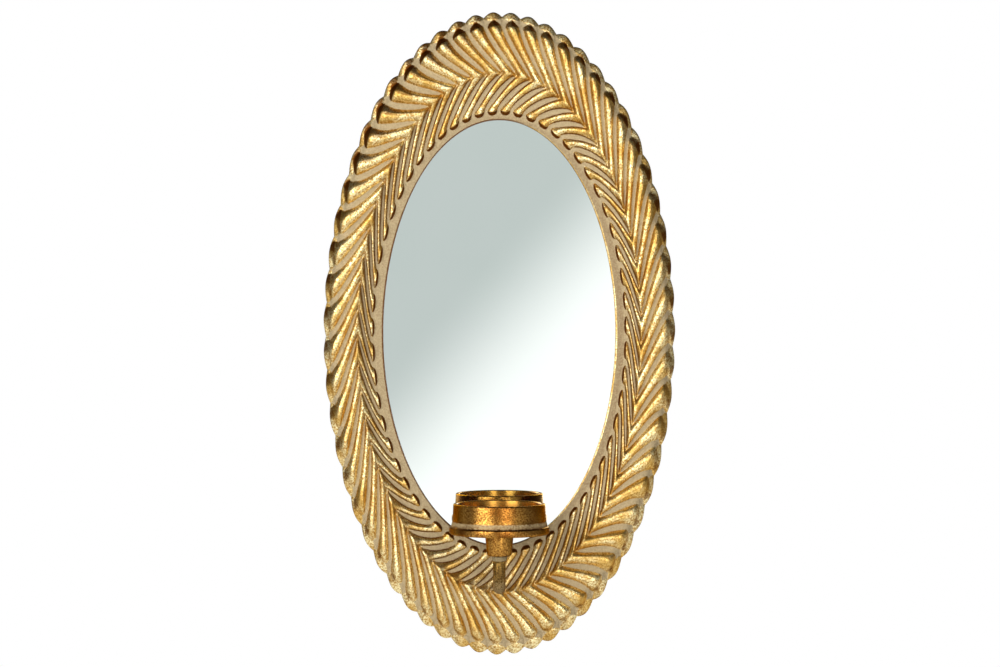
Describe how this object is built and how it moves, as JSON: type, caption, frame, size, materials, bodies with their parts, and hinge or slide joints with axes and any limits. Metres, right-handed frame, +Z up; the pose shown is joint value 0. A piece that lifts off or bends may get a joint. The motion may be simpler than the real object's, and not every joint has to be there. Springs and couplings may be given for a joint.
{
  "type": "girandole mirror",
  "caption": "Oval wall mirror in a relief frame of curved gadroons, with a candle cup on a bent arm and a ring hanger behind.",
  "frame": {"origin": "the point on a wall hook that carries the hanger ring, in the plane of the wall", "axes": "+Z up along the oval's long axis, front towards -Y, wall at Y = 0, +X the viewer's right"},
  "size_m": [0.2183, 0.084, 0.3997],
  "materials": {
    "gilded_resin": "cream paint in the hollows, rubbed gold on the relief",
    "silvered_glass": "polished, silvered behind",
    "card": "grey-brown pulp board",
    "hardboard": "pressed brown fibreboard",
    "brass_sheet": "stamped and lacquered",
    "brass_wire": "drawn wire",
    "brass_screw": "turned, slotted",
    "soft_rubber": "moulded",
    "gilded_steel": "cream ground, gold rubbed thin and toned brown",
    "zinc_steel": "zinc plated",
    "gilded_metal": "cream ground, rubbed gold"
  },
  "bodies": {
    "frame": {"frame_moulding": "gilded_resin", "mirror_glass": "silvered_glass", "backing_card": "card", "backing_board": "hardboard", "hanger_strap": "brass_sheet", "hanger_screws": "brass_screw", "wall_bumpers": "soft_rubber", "candle_arm": "gilded_steel", "arm_washer": "zinc_steel", "arm_nut": "zinc_steel", "cup_boss": "gilded_metal", "candle_cup": "gilded_metal", "cup_screw": "zinc_steel", "turn_button_screws": "brass_screw"},
    "ring": {"hanger_ring": "brass_wire"},
    "button_1": {"turn_button_1": "brass_sheet"},
    "button_2": {"turn_button_2": "brass_sheet"},
    "button_3": {"turn_button_3": "brass_sheet"},
    "button_4": {"turn_button_4": "brass_sheet"}
  },
  "joints": [
    {"name": "hanger_ring_pivot", "type": "hinge", "parent": "frame", "child": "ring", "pos_m": [0, -0.00265, -0.01308], "axis": [-1, 0, 0], "range_deg": [0, 170]},
    {"name": "turn_button_1_pivot", "type": "hinge", "parent": "frame", "child": "button_1", "pos_m": [0.05996, -0.0043, -0.08161], "axis": [0, 1, 0], "continuous": true},
    {"name": "turn_button_2_pivot", "type": "hinge", "parent": "frame", "child": "button_2", "pos_m": [0.05996, -0.0043, -0.28639], "axis": [0, 1, 0], "continuous": true},
    {"name": "turn_button_3_pivot", "type": "hinge", "parent": "frame", "child": "button_3", "pos_m": [-0.05996, -0.0043, -0.28639], "axis": [0, 1, 0], "continuous": true},
    {"name": "turn_button_4_pivot", "type": "hinge", "parent": "frame", "child": "button_4", "pos_m": [-0.05996, -0.0043, -0.08161], "axis": [0, 1, 0], "continuous": true}
  ]
}
